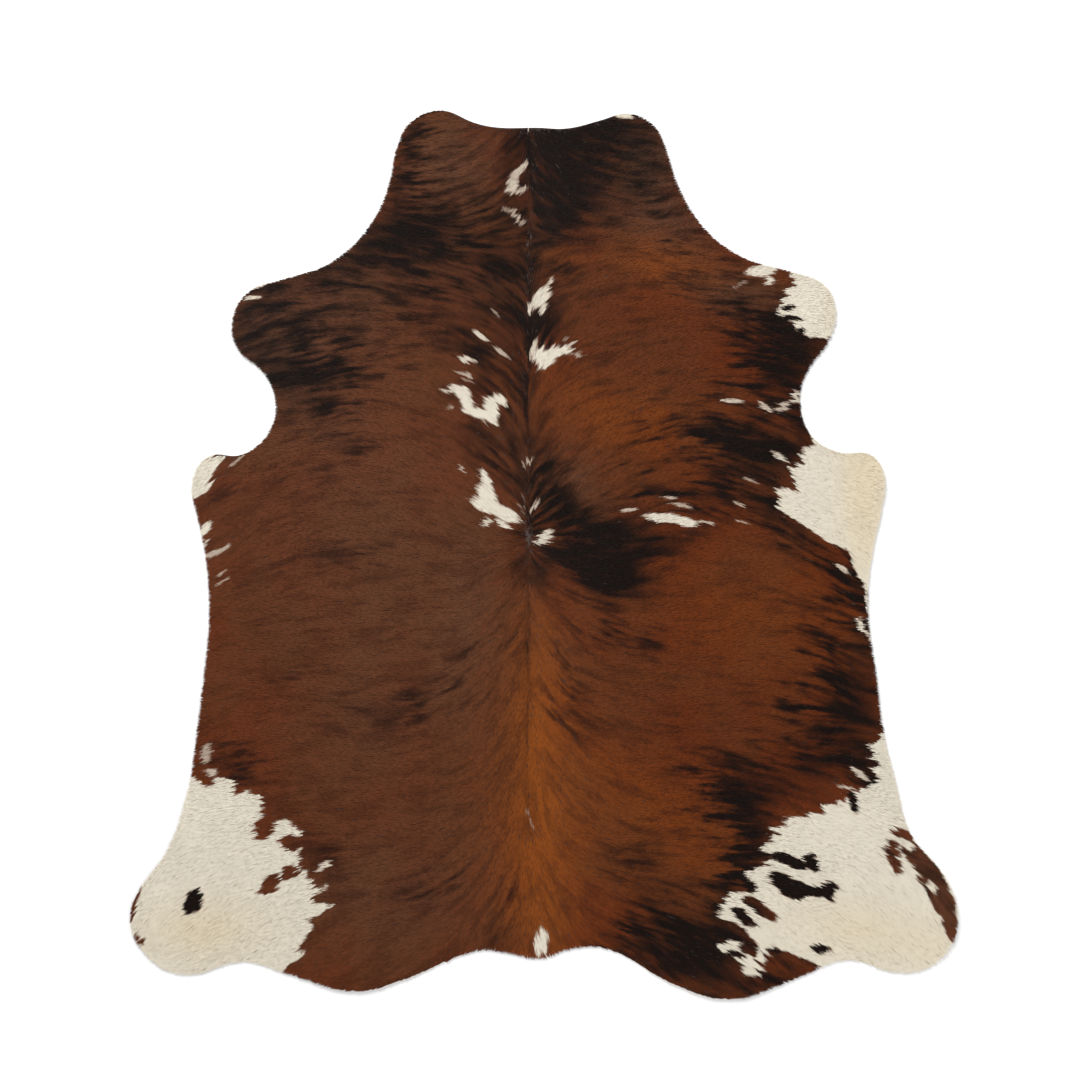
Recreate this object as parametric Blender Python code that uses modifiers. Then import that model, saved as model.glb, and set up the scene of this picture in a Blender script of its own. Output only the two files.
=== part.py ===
# Cowhide rug: one tanned, hair-on hide, lying hair side up on a flat surface.
# Metres, +Z up. The spine runs along Y with the neck towards +Y and the tail
# towards -Y. The origin is the bottom centre of the hide's bounding box.

import math

import bmesh
import bpy
from mathutils import Vector

# Driving sizes.
LEATHER_THICKNESS = 0.0025
LYING_HAIR_DEPTH = 0.0035
HIDE_THICKNESS = LEATHER_THICKNESS + LYING_HAIR_DEPTH
CURVE_STEPS = 4
CELL_SIZE = 0.055
WELD_DISTANCE = 0.0001

# Colours, linear RGB with alpha.
COAT_COLOUR = (0.095, 0.036, 0.016, 1.0)
COAT_ROUGHNESS = 0.6

# The outline on the spine.
NECK_MIDDLE = (-0.01, 1.056)
TAIL_MIDDLE = (-0.01, -1.015)

# The outline on each side of the spine, from the neck to the tail.
# Columns: landmark, right x, right y, left x, left y.
SIDE_LANDMARKS = (
    ("neck hollow", 0.060, 1.053, -0.125, 1.057),
    ("neck corner rise", 0.160, 1.081, -0.178, 1.070),
    ("neck corner top", 0.218, 1.097, -0.268, 1.107),
    ("neck corner outside", 0.287, 1.058, -0.347, 1.068),
    ("neck side, upper", 0.318, 0.987, -0.376, 1.000),
    ("neck side, lower", 0.345, 0.880, -0.398, 0.870),
    ("shoulder", 0.408, 0.760, -0.440, 0.765),
    ("foreleg root", 0.510, 0.674, -0.530, 0.664),
    ("foreleg top edge", 0.620, 0.638, -0.645, 0.617),
    ("foreleg upper corner", 0.706, 0.598, -0.737, 0.582),
    ("foreleg end", 0.730, 0.520, -0.774, 0.490),
    ("foreleg lower corner", 0.706, 0.440, -0.750, 0.412),
    ("foreleg underside", 0.650, 0.362, -0.688, 0.358),
    ("armpit", 0.627, 0.290, -0.651, 0.270),
    ("elbow root", 0.655, 0.192, -0.672, 0.192),
    ("elbow upper edge", 0.725, 0.150, -0.735, 0.144),
    ("elbow upper corner", 0.792, 0.147, -0.808, 0.143),
    ("elbow end", 0.820, 0.085, -0.844, 0.080),
    ("elbow lower corner", 0.804, 0.000, -0.826, -0.005),
    ("belly, front", 0.779, -0.100, -0.800, -0.095),
    ("belly, middle", 0.755, -0.235, -0.780, -0.220),
    ("belly, rear", 0.764, -0.390, -0.778, -0.380),
    ("thigh", 0.769, -0.510, -0.787, -0.540),
    ("stifle", 0.792, -0.640, -0.798, -0.665),
    ("hind leg upper edge", 0.815, -0.750, -0.833, -0.783),
    ("hind leg upper corner", 0.883, -0.838, -0.887, -0.865),
    ("hind leg end", 0.906, -0.920, -0.905, -0.925),
    ("hind leg lower corner", 0.868, -1.008, -0.862, -1.005),
    ("hind leg lower edge", 0.778, -1.047, -0.775, -1.052),
    ("hind leg hollow", 0.648, -1.020, -0.648, -1.023),
    ("rump rise", 0.545, -1.057, -0.540, -1.051),
    ("rump", 0.390, -1.102, -0.400, -1.086),
    ("rump inside", 0.262, -1.064, -0.285, -1.057),
    ("tail hollow", 0.145, -1.001, -0.128, -0.997),
    ("tail side", 0.062, -0.993, -0.075, -1.003),
)

# Soft rises where the dried hide does not lie quite flat.
# Columns: place, x, y, heading of the ridge in degrees, length, width, height.
RISES = (
    ("right foreleg end", 0.70, 0.54, 75, 0.14, 0.060, 0.0060),
    ("left foreleg end", -0.74, 0.46, 100, 0.16, 0.060, 0.0065),
    ("right elbow edge", 0.79, 0.05, 85, 0.12, 0.055, 0.0060),
    ("left elbow edge", -0.82, 0.10, 95, 0.11, 0.050, 0.0065),
    ("right belly wave, front", 0.76, -0.20, 80, 0.10, 0.045, 0.0045),
    ("right belly wave, rear", 0.75, -0.46, 95, 0.10, 0.045, 0.0045),
    ("left belly wave, front", -0.78, -0.17, 95, 0.10, 0.045, 0.0045),
    ("left belly wave, rear", -0.77, -0.43, 88, 0.11, 0.045, 0.0050),
    ("right hind leg fold", 0.72, -0.72, -62, 0.16, 0.040, 0.0070),
    ("right hind leg end", 0.88, -0.92, 105, 0.12, 0.055, 0.0075),
    ("left hind leg crease", -0.79, -0.74, 80, 0.11, 0.040, 0.0055),
    ("left hind leg end", -0.87, -0.93, 80, 0.12, 0.055, 0.0075),
    ("left rump edge", -0.40, -1.07, 0, 0.16, 0.050, 0.0050),
    ("right rump edge", 0.36, -1.08, 0, 0.16, 0.050, 0.0050),
    ("left neck corner", -0.32, 1.05, 40, 0.10, 0.050, 0.0055),
    ("right neck corner", 0.27, 1.04, -40, 0.10, 0.050, 0.0055),
)
# Rises lower than this are pressed flat by the hide's weight.
PRESSED_FLAT = 0.0006


def remove_scene_objects():
    for item in list(bpy.data.objects):
        bpy.data.objects.remove(item, do_unlink=True)


def outline_points():
    """The landmarks in order, clockwise seen from above."""
    right_side = [(row[1], row[2]) for row in SIDE_LANDMARKS]
    left_side = [(row[3], row[4]) for row in SIDE_LANDMARKS]
    return [NECK_MIDDLE, *right_side, TAIL_MIDDLE, *reversed(left_side)]


def outline_mesh():
    """One flat face inside the smooth closed curve through the landmarks."""
    points = outline_points()
    curve = bpy.data.curves.new("hide_outline", "CURVE")
    curve.dimensions = "2D"
    curve.fill_mode = "NONE"
    curve.resolution_u = CURVE_STEPS
    spline = curve.splines.new("BEZIER")
    spline.bezier_points.add(len(points) - 1)
    spline.use_cyclic_u = True
    for bezier_point, (x, y) in zip(spline.bezier_points, points):
        bezier_point.co = (x, y, 0.0)
        bezier_point.handle_left_type = "AUTO"
        bezier_point.handle_right_type = "AUTO"
    drawn = bpy.data.objects.new("hide_outline", curve)
    bpy.context.scene.collection.objects.link(drawn)
    depsgraph = bpy.context.evaluated_depsgraph_get()
    mesh = bpy.data.meshes.new_from_object(drawn.evaluated_get(depsgraph))
    bpy.data.objects.remove(drawn, do_unlink=True)
    bpy.data.curves.remove(curve)
    return mesh


def cut_into_cells(sheet, axis, low, high):
    """Cuts the sheet across one axis, in even steps no wider than a cell."""
    steps = math.ceil((high - low) / CELL_SIZE)
    normal = Vector((0.0, 0.0, 0.0))
    normal[axis] = 1.0
    for step in range(1, steps):
        place = Vector((0.0, 0.0, 0.0))
        place[axis] = low + (high - low) * step / steps
        bmesh.ops.bisect_plane(
            sheet,
            geom=[*sheet.verts, *sheet.edges, *sheet.faces],
            plane_co=place,
            plane_no=normal,
            dist=WELD_DISTANCE,
        )


def rise_at(x, y):
    """Height of the hide's underside above the floor."""
    height = 0.0
    for _place, rise_x, rise_y, heading, length, width, top in RISES:
        angle = math.radians(heading)
        along = (x - rise_x) * math.cos(angle) + (y - rise_y) * math.sin(angle)
        across = (y - rise_y) * math.cos(angle) - (x - rise_x) * math.sin(angle)
        height += top * math.exp(-((along / length) ** 2) - (across / width) ** 2)
    return max(0.0, height - PRESSED_FLAT)


def make_coat_material():
    material = bpy.data.materials.new("cowhide")
    material.use_nodes = True
    shader = material.node_tree.nodes["Principled BSDF"]
    shader.inputs["Base Color"].default_value = COAT_COLOUR
    shader.inputs["Roughness"].default_value = COAT_ROUGHNESS
    shader.inputs["Metallic"].default_value = 0.0
    return material


def make_hide(collection):
    mesh = outline_mesh()
    sheet = bmesh.new()
    sheet.from_mesh(mesh)
    bmesh.ops.remove_doubles(sheet, verts=sheet.verts, dist=WELD_DISTANCE)
    bmesh.ops.contextual_create(sheet, geom=sheet.edges)

    lows = [min(vertex.co[axis] for vertex in sheet.verts) for axis in (0, 1)]
    highs = [max(vertex.co[axis] for vertex in sheet.verts) for axis in (0, 1)]
    centre = Vector(((lows[0] + highs[0]) / 2, (lows[1] + highs[1]) / 2, 0.0))
    for axis in (0, 1):
        cut_into_cells(sheet, axis, lows[axis], highs[axis])

    for vertex in sheet.verts:
        vertex.co.z = rise_at(vertex.co.x, vertex.co.y)
        vertex.co -= centre
    bmesh.ops.triangulate(sheet, faces=sheet.faces)
    bmesh.ops.recalc_face_normals(sheet, faces=sheet.faces)
    if sheet.faces[0].normal.z < 0.0:
        bmesh.ops.reverse_faces(sheet, faces=sheet.faces)
    sheet.to_mesh(mesh)
    sheet.free()

    mesh.name = "hide"
    mesh.shade_smooth()
    mesh.materials.append(make_coat_material())
    hide = bpy.data.objects.new("hide", mesh)
    collection.objects.link(hide)

    leather_and_hair = hide.modifiers.new("thickness", "SOLIDIFY")
    leather_and_hair.thickness = HIDE_THICKNESS
    leather_and_hair.offset = 1.0
    return hide


remove_scene_objects()
rug = bpy.data.collections.new("cowhide_rug")
bpy.context.scene.collection.children.link(rug)
make_hide(rug)
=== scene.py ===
import math

import bmesh
import bpy
import numpy as np
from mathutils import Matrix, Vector
from mathutils.bvhtree import BVHTree


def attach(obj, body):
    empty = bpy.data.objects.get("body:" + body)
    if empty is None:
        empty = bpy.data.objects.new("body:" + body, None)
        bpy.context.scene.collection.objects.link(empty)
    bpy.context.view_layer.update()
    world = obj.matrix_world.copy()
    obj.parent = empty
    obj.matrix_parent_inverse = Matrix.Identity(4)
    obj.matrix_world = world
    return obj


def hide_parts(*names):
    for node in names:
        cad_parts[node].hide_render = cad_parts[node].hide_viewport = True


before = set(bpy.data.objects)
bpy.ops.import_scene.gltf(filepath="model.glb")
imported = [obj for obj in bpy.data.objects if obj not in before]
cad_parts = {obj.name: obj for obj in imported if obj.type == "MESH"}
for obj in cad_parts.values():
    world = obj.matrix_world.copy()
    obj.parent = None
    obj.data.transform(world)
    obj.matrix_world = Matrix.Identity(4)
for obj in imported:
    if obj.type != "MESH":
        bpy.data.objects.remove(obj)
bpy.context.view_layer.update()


# --------------------------------------
# The leather
# One whole tanned hide, cut to its natural outline and left unlined: grain and
# hair on top, suede underneath, the trimmed rim bare. It lies by its own weight.
# --------------------------------------

LEATHER_THICKNESS = 0.0025
RIM_INSET = 0.004
RIM_STEP = 0.008
LEATHER_CELL = 0.018
WELD = 0.0001
CREASE_SMOOTHING = 4
OUTLINE_SMOOTHING = 3
DOWNWARD = -0.5
UNDER_FLOOR = -1.0


def underside_of(node):
    """The faces a solid rests on, as one welded sheet."""
    sheet = bmesh.new()
    sheet.from_mesh(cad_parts[node].data)
    bmesh.ops.remove_doubles(sheet, verts=sheet.verts, dist=WELD)
    others = [face for face in sheet.faces if face.normal.z > DOWNWARD]
    bmesh.ops.delete(sheet, geom=others, context="FACES")
    return sheet


def rim_loop(sheet):
    """The sheet's boundary points in order, as an (n, 2) array."""
    neighbours = {}
    for edge in sheet.edges:
        if edge.is_boundary:
            first, second = edge.verts
            neighbours.setdefault(first, []).append(second)
            neighbours.setdefault(second, []).append(first)
    start = min(neighbours, key=lambda vertex: (vertex.co.y, vertex.co.x))
    loop, last, here = [start], None, start
    while True:
        step = [vertex for vertex in neighbours[here] if vertex is not last]
        last, here = here, step[0]
        if here is start:
            break
        loop.append(here)
    return np.array([vertex.co.xy for vertex in loop])


def even_steps(loop, step):
    """The same closed loop with points at even distances along it."""
    closed = np.vstack([loop, loop[:1]])
    lengths = np.hypot(*np.diff(closed, axis=0).T)
    along = np.concatenate([[0.0], np.cumsum(lengths)])
    places = np.linspace(0.0, along[-1], int(along[-1] / step), endpoint=False)
    columns = [np.interp(places, along, closed[:, axis]) for axis in (0, 1)]
    return np.stack(columns, axis=1)


def softened(loop, passes):
    """Rounds off the small facets of a closed loop."""
    for _ in range(passes):
        middle = (np.roll(loop, 1, axis=0) + np.roll(loop, -1, axis=0)) / 2
        loop = loop * 0.5 + middle * 0.5
    return loop


def inset(loop, distance):
    """Moves a closed loop inwards."""
    ahead = np.roll(loop, -1, axis=0) - np.roll(loop, 1, axis=0)
    ahead /= np.hypot(*ahead.T)[:, None]
    sideways = np.stack([-ahead[:, 1], ahead[:, 0]], axis=1)
    following = np.roll(loop, -1, axis=0)
    area = np.sum(loop[:, 0] * following[:, 1] - following[:, 0] * loop[:, 1])
    return loop + sideways * distance * np.sign(area)


solid_underside = underside_of("hide")
hide_outline = softened(even_steps(rim_loop(solid_underside), RIM_STEP), OUTLINE_SMOOTHING)
leather_outline = inset(hide_outline, RIM_INSET)
floor_shape = BVHTree.FromBMesh(solid_underside)
solid_underside.free()


def flat_cut(outline, cell):
    """The cut piece before it is laid, in even cells."""
    cut = bmesh.new()
    corners = [cut.verts.new((x, y, 0.0)) for x, y in outline]
    cut.faces.new(corners)
    for axis in (0, 1):
        low, high = outline[:, axis].min(), outline[:, axis].max()
        steps = math.ceil((high - low) / cell)
        for step in range(1, steps):
            place, normal = Vector((0.0, 0.0, 0.0)), Vector((0.0, 0.0, 0.0))
            place[axis] = low + (high - low) * step / steps
            normal[axis] = 1.0
            everything = [*cut.verts, *cut.edges, *cut.faces]
            bmesh.ops.bisect_plane(cut, geom=everything, plane_co=place, plane_no=normal, dist=WELD)
    return cut


def lay_on(cut, shape):
    """Lifts each point to the height at which the hide lies."""
    for vertex in cut.verts:
        nearest = shape.find_nearest(Vector((vertex.co.x, vertex.co.y, 0.0)))[0]
        below = Vector((vertex.co.x, vertex.co.y, UNDER_FLOOR))
        hit = shape.ray_cast(below, Vector((0.0, 0.0, 1.0)))[0]
        vertex.co.z = (hit or nearest).z
    for _ in range(CREASE_SMOOTHING):
        heights = {}
        for vertex in cut.verts:
            around = [edge.other_vert(vertex).co.z for edge in vertex.link_edges]
            heights[vertex] = vertex.co.z * 0.5 + sum(around) / len(around) * 0.5
        for vertex, height in heights.items():
            vertex.co.z = max(0.0, height)


def distance_inside(points, outline):
    """How far inside a closed outline each point lies; negative outside."""
    nearest = np.full(len(points), np.inf)
    inside = np.zeros(len(points), bool)
    x, y = points[:, 0], points[:, 1]
    for (ax, ay), (bx, by) in zip(outline, np.roll(outline, -1, axis=0)):
        edge_x, edge_y = bx - ax, by - ay
        share = ((x - ax) * edge_x + (y - ay) * edge_y) / (edge_x**2 + edge_y**2)
        share = np.clip(share, 0.0, 1.0)
        away = np.hypot(x - ax - share * edge_x, y - ay - share * edge_y)
        nearest = np.minimum(nearest, away)
        if ay != by:
            crosses = ((ay > y) != (by > y)) & (x < ax + edge_x * (y - ay) / edge_y)
            inside ^= crosses
    return np.where(inside, nearest, -nearest)


def store(mesh, name, values, kind="FLOAT_VECTOR"):
    """Keeps an array on a mesh's points under a name."""
    field = {"FLOAT_VECTOR": "vector", "FLOAT": "value"}[kind]
    attribute = mesh.attributes.get(name) or mesh.attributes.new(name, kind, "POINT")
    attribute.data.foreach_set(field, np.ascontiguousarray(values, np.float32).ravel())


def recall(mesh, name):
    """A stored vector of each of a mesh's points; "position" is its place."""
    values = np.empty(len(mesh.vertices) * 3, np.float32)
    mesh.attributes[name].data.foreach_get("vector", values)
    return values.reshape(-1, 3).astype(float)


def made(shape, name):
    """Turns a bmesh into a mesh."""
    mesh = bpy.data.meshes.new(name)
    shape.to_mesh(mesh)
    shape.free()
    return mesh


def new_object(name, data):
    """An object in the scene."""
    thing = bpy.data.objects.new(name, data)
    bpy.context.scene.collection.objects.link(thing)
    return thing


leather_cut = flat_cut(leather_outline, LEATHER_CELL)
lay_on(leather_cut, floor_shape)
LEATHER_AREA = sum(face.calc_area() for face in leather_cut.faces)
bmesh.ops.recalc_face_normals(leather_cut, faces=leather_cut.faces)
leather_cut.faces.ensure_lookup_table()
if leather_cut.faces[0].normal.z < 0.0:
    bmesh.ops.reverse_faces(leather_cut, faces=leather_cut.faces)
leather_mesh = made(leather_cut, "leather")
leather_mesh.shade_smooth()
leather = new_object("leather", leather_mesh)


class Value:
    """An output of a node. Python's operators on it add Math nodes."""

    def __init__(self, tree, socket):
        self.tree = tree
        self.socket = socket

    def maths(self, operation, first, second):
        node = self.tree.nodes.new("ShaderNodeMath")
        node.operation = operation
        for place, value in enumerate((first, second)):
            connect(self.tree, node.inputs[place], value)
        return Value(self.tree, node.outputs[0])

    def __add__(self, other):
        return self.maths("ADD", self, other)

    def __radd__(self, other):
        return self.maths("ADD", other, self)

    def __sub__(self, other):
        return self.maths("SUBTRACT", self, other)

    def __rsub__(self, other):
        return self.maths("SUBTRACT", other, self)

    def __mul__(self, other):
        return self.maths("MULTIPLY", self, other)

    def __rmul__(self, other):
        return self.maths("MULTIPLY", other, self)

    def __truediv__(self, other):
        return self.maths("DIVIDE", self, other)

    def __rtruediv__(self, other):
        return self.maths("DIVIDE", other, self)


def connect(tree, socket, value):
    """Links a node's output to a socket, or sets the socket's own value."""
    if isinstance(value, Value):
        tree.links.new(value.socket, socket)
    else:
        socket.default_value = value


class Wiring:
    """A node tree being wired up."""

    def __init__(self, tree):
        self.tree = tree

    def add(self, kind, settings=None, inputs=None, output=0):
        """Adds a node: its settings first, then its sockets' values or links."""
        node = self.tree.nodes.new(kind)
        for setting, value in (settings or {}).items():
            if setting == "stops":
                ramp = node.color_ramp
                while len(ramp.elements) < len(value):
                    ramp.elements.new(1.0)
                for stop, (place, colour) in zip(ramp.elements, value):
                    stop.position = place
                    stop.color = colour
            else:
                setattr(node, setting, value)
        for socket, value in (inputs or {}).items():
            connect(self.tree, node.inputs[socket], value)
        return Value(self.tree, node.outputs[output])

    def mix(self, share, first, second, blend="MIX"):
        """Mixes two colours."""
        settings = {"data_type": "RGBA", "blend_type": blend, "clamp_factor": True}
        return self.add("ShaderNodeMix", settings, {0: share, 6: first, 7: second}, output=2)

    def soft_step(self, value, low, high):
        """0 below low, 1 above high, smooth between."""
        settings = {"interpolation_type": "SMOOTHSTEP"}
        inputs = {"Value": value, "From Min": low, "From Max": high}
        return self.add("ShaderNodeMapRange", settings, inputs)

    def noise(self, where, scale, detail, roughness):
        """Cloudy noise, about 0.5 on average."""
        inputs = {"Vector": where, "Scale": scale, "Detail": detail, "Roughness": roughness}
        return self.add("ShaderNodeTexNoise", None, inputs)

    def bump(self, height, strength, distance):
        """A bumped normal, distance in metres."""
        inputs = {"Strength": strength, "Distance": distance, "Height": height}
        return self.add("ShaderNodeBump", None, inputs)

    def plus(self, first, second):
        """Adds two vectors."""
        return self.add("ShaderNodeVectorMath", {"operation": "ADD"}, {0: first, 1: second})

    def scaled(self, vector, factor):
        """Scales a vector or a colour."""
        inputs = {0: vector, "Scale": factor}
        return self.add("ShaderNodeVectorMath", {"operation": "SCALE"}, inputs)

    def where(self):
        """The place on the object, in metres."""
        return self.add("ShaderNodeTexCoord", output=3)

    def stored(self, name):
        """The three parts of a vector stored on the mesh."""
        vector = self.add("ShaderNodeAttribute", {"attribute_name": name}, output=1)
        split = self.add("ShaderNodeSeparateXYZ", None, {"Vector": vector}).socket.node
        return [Value(self.tree, part) for part in split.outputs]

    def feed(self, shader, colour, roughness, normal):
        """Gives a Principled shader its varying surface."""
        fed = {"Base Color": colour, "Roughness": roughness, "Normal": normal}
        for socket, value in fed.items():
            connect(self.tree, shader.inputs[socket], value)


def new_material(name):
    """A material with only a Principled shader and its output."""
    material = bpy.data.materials.new(name)
    material.use_nodes = True
    shader = material.node_tree.nodes["Principled BSDF"]
    return material, Wiring(material.node_tree), shader


def srgb(red, green, blue):
    """A screen colour of 0 to 255 as linear RGBA."""
    linear = []
    for part in (red, green, blue):
        share = part / 255
        linear.append(share / 12.92 if share <= 0.04045 else ((share + 0.055) / 1.055) ** 2.4)
    return (*linear, 1.0)


SUEDE_PALE = srgb(196, 178, 152)
SUEDE_DEEP = srgb(168, 148, 122)
GRAIN_UNDER_HAIR = srgb(46, 27, 18)
VEIN_WIDTH = 0.03
VEIN_DEPTH = 0.35
NAP_DEPTH = 0.3
PORE_DEPTH = 0.4
SUEDE_SHINE = 0.25


def make_suede():
    """The napped flesh side: short fibres, cloudy where the tanning took unevenly."""
    material, wires, shader = new_material("suede_flesh_side")
    where = wires.where()
    clouds = wires.noise(where, scale=6.0, detail=4.0, roughness=0.6)
    nap = wires.noise(where, scale=900.0, detail=3.0, roughness=0.7)
    veins = wires.add(
        "ShaderNodeTexVoronoi", {"feature": "DISTANCE_TO_EDGE"}, {"Vector": where, "Scale": 14.0}
    )
    vein_lines = 1.0 - wires.soft_step(veins, 0.0, VEIN_WIDTH)
    tone = wires.mix(wires.soft_step(clouds, 0.3, 0.7), SUEDE_PALE, SUEDE_DEEP)
    toned = wires.mix(vein_lines * clouds * VEIN_DEPTH, tone, SUEDE_DEEP)
    napped = wires.mix(nap * NAP_DEPTH, toned, SUEDE_DEEP)
    height = nap * 0.6 + clouds * 0.4
    bump = wires.bump(height, strength=0.5, distance=0.0006)
    wires.feed(shader, napped, 0.82 + nap * 0.12, bump)
    shader.inputs["Specular IOR Level"].default_value = SUEDE_SHINE
    return material


def make_grain():
    """The grain side between the hairs, as dark as the hair that grows from it."""
    material, wires, shader = new_material("grain_between_hairs")
    where = wires.where()
    white = wires.stored("coat")[0]
    pores = wires.noise(where, scale=500.0, detail=2.0, roughness=0.6)
    skin = wires.mix(white, GRAIN_UNDER_HAIR, SUEDE_PALE)
    skin_shadow = wires.mix(white, GRAIN_UNDER_HAIR, SUEDE_DEEP)
    pored = wires.mix(pores * PORE_DEPTH, skin, skin_shadow)
    bump = wires.bump(pores, strength=0.4, distance=0.0004)
    wires.feed(shader, pored, 0.6 + pores * 0.2, bump)
    return material


def make_cut_edge():
    """The trimmed rim: raw leather, mottled pale and deep along its fibres."""
    material, wires, shader = new_material("cut_rim")
    where = wires.where()
    fibres = wires.noise(where, scale=700.0, detail=3.0, roughness=0.6)
    colour = wires.mix(fibres, SUEDE_DEEP, SUEDE_PALE)
    bump = wires.bump(fibres, strength=0.6, distance=0.0005)
    wires.feed(shader, colour, 0.75 + fibres * 0.15, bump)
    return material


for finish in (make_grain(), make_suede(), make_cut_edge()):
    leather_mesh.materials.append(finish)


# --------------------------------------
# The lie of the hair
# Hair grows tailwards from the neck, turns forwards over the withers, and runs
# tailwards again behind a whorl on the back. It fans out level over the ribs
# and droops down the elbows, flanks and legs, as it does on the living animal.
# --------------------------------------

SPINE_X = -0.035
SPINE_PARTING = 0.012
SPINE_SPREAD = 0.17
SPREAD_SHARPNESS = 1.5
# Columns: distance along the spine, droop of the hair beside it in degrees.
# 90 is straight towards the tail, -90 straight towards the neck.
SPINE_LIE = np.array(
    [
        (-1.05, 80.0),
        (-0.30, 72.0),
        (-0.15, 52.0),
        (0.00, -48.0),
        (0.20, -58.0),
        (0.45, -62.0),
        (0.64, -48.0),
        (0.82, 55.0),
        (1.10, 62.0),
    ]
)
# Columns: distance from the spine, y, reach across, reach along, droop.
SIDE_LIE = (
    (0.74, 0.00, 0.25, 0.30, 38.0),  # elbows and flanks
    (0.72, 0.46, 0.22, 0.16, 16.0),  # forelegs
    (0.72, -0.45, 0.20, 0.20, 14.0),  # belly
    (0.86, -0.92, 0.30, 0.24, 52.0),  # hind legs
    (0.42, -1.02, 0.22, 0.12, 28.0),  # rump edges
    (0.22, 0.02, 0.14, 0.30, -8.0),  # ribs
    (0.30, 0.76, 0.14, 0.12, -12.0),  # sides of the neck
)
MAP_STEP = 0.003
MAP_MARGIN = 0.03
MAP_EDGE = 1.001
NOISE_REACH = 1.6
COMB_STRIDE = 1.5
# Degrees by which the hair wanders, broadly and finely.
BROAD_WANDER = 5.0
FINE_WANDER = 4.0
map_low = hide_outline.min(axis=0) - MAP_MARGIN
map_high = hide_outline.max(axis=0) + MAP_MARGIN
map_x, map_y = np.meshgrid(
    np.arange(map_low[0], map_high[0], MAP_STEP), np.arange(map_low[1], map_high[1], MAP_STEP)
)


def soft_noise(size, seed):
    """Smooth noise over the whole hide, in grains of about the size given."""
    rough = np.random.default_rng(seed).standard_normal(map_x.shape)
    waves_y = np.fft.fftfreq(map_x.shape[0], MAP_STEP)[:, None]
    waves_x = np.fft.rfftfreq(map_x.shape[1], MAP_STEP)[None, :]
    kept = np.exp(-((waves_x**2 + waves_y**2) * (size * NOISE_REACH) ** 2))
    smooth = np.fft.irfft2(np.fft.rfft2(rough) * kept, s=map_x.shape)
    return smooth / smooth.std()


def read_map(field, x, y):
    """A map's value at any place, blended between its four nearest points."""
    column = np.clip((x - map_low[0]) / MAP_STEP, 0, map_x.shape[1] - MAP_EDGE)
    row = np.clip((y - map_low[1]) / MAP_STEP, 0, map_x.shape[0] - MAP_EDGE)
    left, below = column.astype(int), row.astype(int)
    share_x, share_y = column - left, row - below
    lower = field[below, left] * (1 - share_x) + field[below, left + 1] * share_x
    upper = field[below + 1, left] * (1 - share_x) + field[below + 1, left + 1] * share_x
    return lower * (1 - share_y) + upper * share_y


def hair_lie(x, y, wander):
    """The way the hair points, as unit x and y."""
    from_spine = x - SPINE_X
    distance = np.abs(from_spine)
    droop = np.interp(y, SPINE_LIE[:, 0], SPINE_LIE[:, 1])
    droop = droop * np.exp(-((distance / SPINE_SPREAD) ** SPREAD_SHARPNESS))
    for away, along, reach_across, reach_along, turn in SIDE_LIE:
        near = ((distance - away) / reach_across) ** 2 + ((y - along) / reach_along) ** 2
        droop = droop + turn * np.exp(-near)
    angle = np.radians(droop + wander)
    side = np.tanh(from_spine / SPINE_PARTING)
    lie_x, lie_y = side * np.cos(angle), -np.sin(angle)
    length = np.hypot(lie_x, lie_y) + 1e-6
    return lie_x / length, lie_y / length


wander = soft_noise(0.12, 11) * BROAD_WANDER + soft_noise(0.035, 12) * FINE_WANDER
lie_x, lie_y = hair_lie(map_x, map_y, wander)


def lie_at(x, y):
    """The way the hair points at any place."""
    return read_map(lie_x, x, y), read_map(lie_y, x, y)


def combed(field, reach):
    """Draws a field's grains out along the hair into streaks."""
    total = field.copy()
    steps = int(reach / MAP_STEP / COMB_STRIDE)
    for sense in (1.0, -1.0):
        x, y = map_x.copy(), map_y.copy()
        for _ in range(steps):
            step_x, step_y = lie_at(x, y)
            x += step_x * sense * MAP_STEP * COMB_STRIDE
            y += step_y * sense * MAP_STEP * COMB_STRIDE
            total += read_map(field, x, y)
    total -= total.mean()
    return total / total.std()


broad_streaks = combed(soft_noise(0.008, 21), 0.032)
fine_streaks = combed(soft_noise(0.004, 22), 0.020)
mottles = combed(soft_noise(0.015, 24), 0.030)


# --------------------------------------
# The coat's markings
# A brindled red-brown coat with black clouds, a ginger stripe over the loins
# and croup, white legs with dark spots, and scattered white ticks by the spine.
# --------------------------------------

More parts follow.
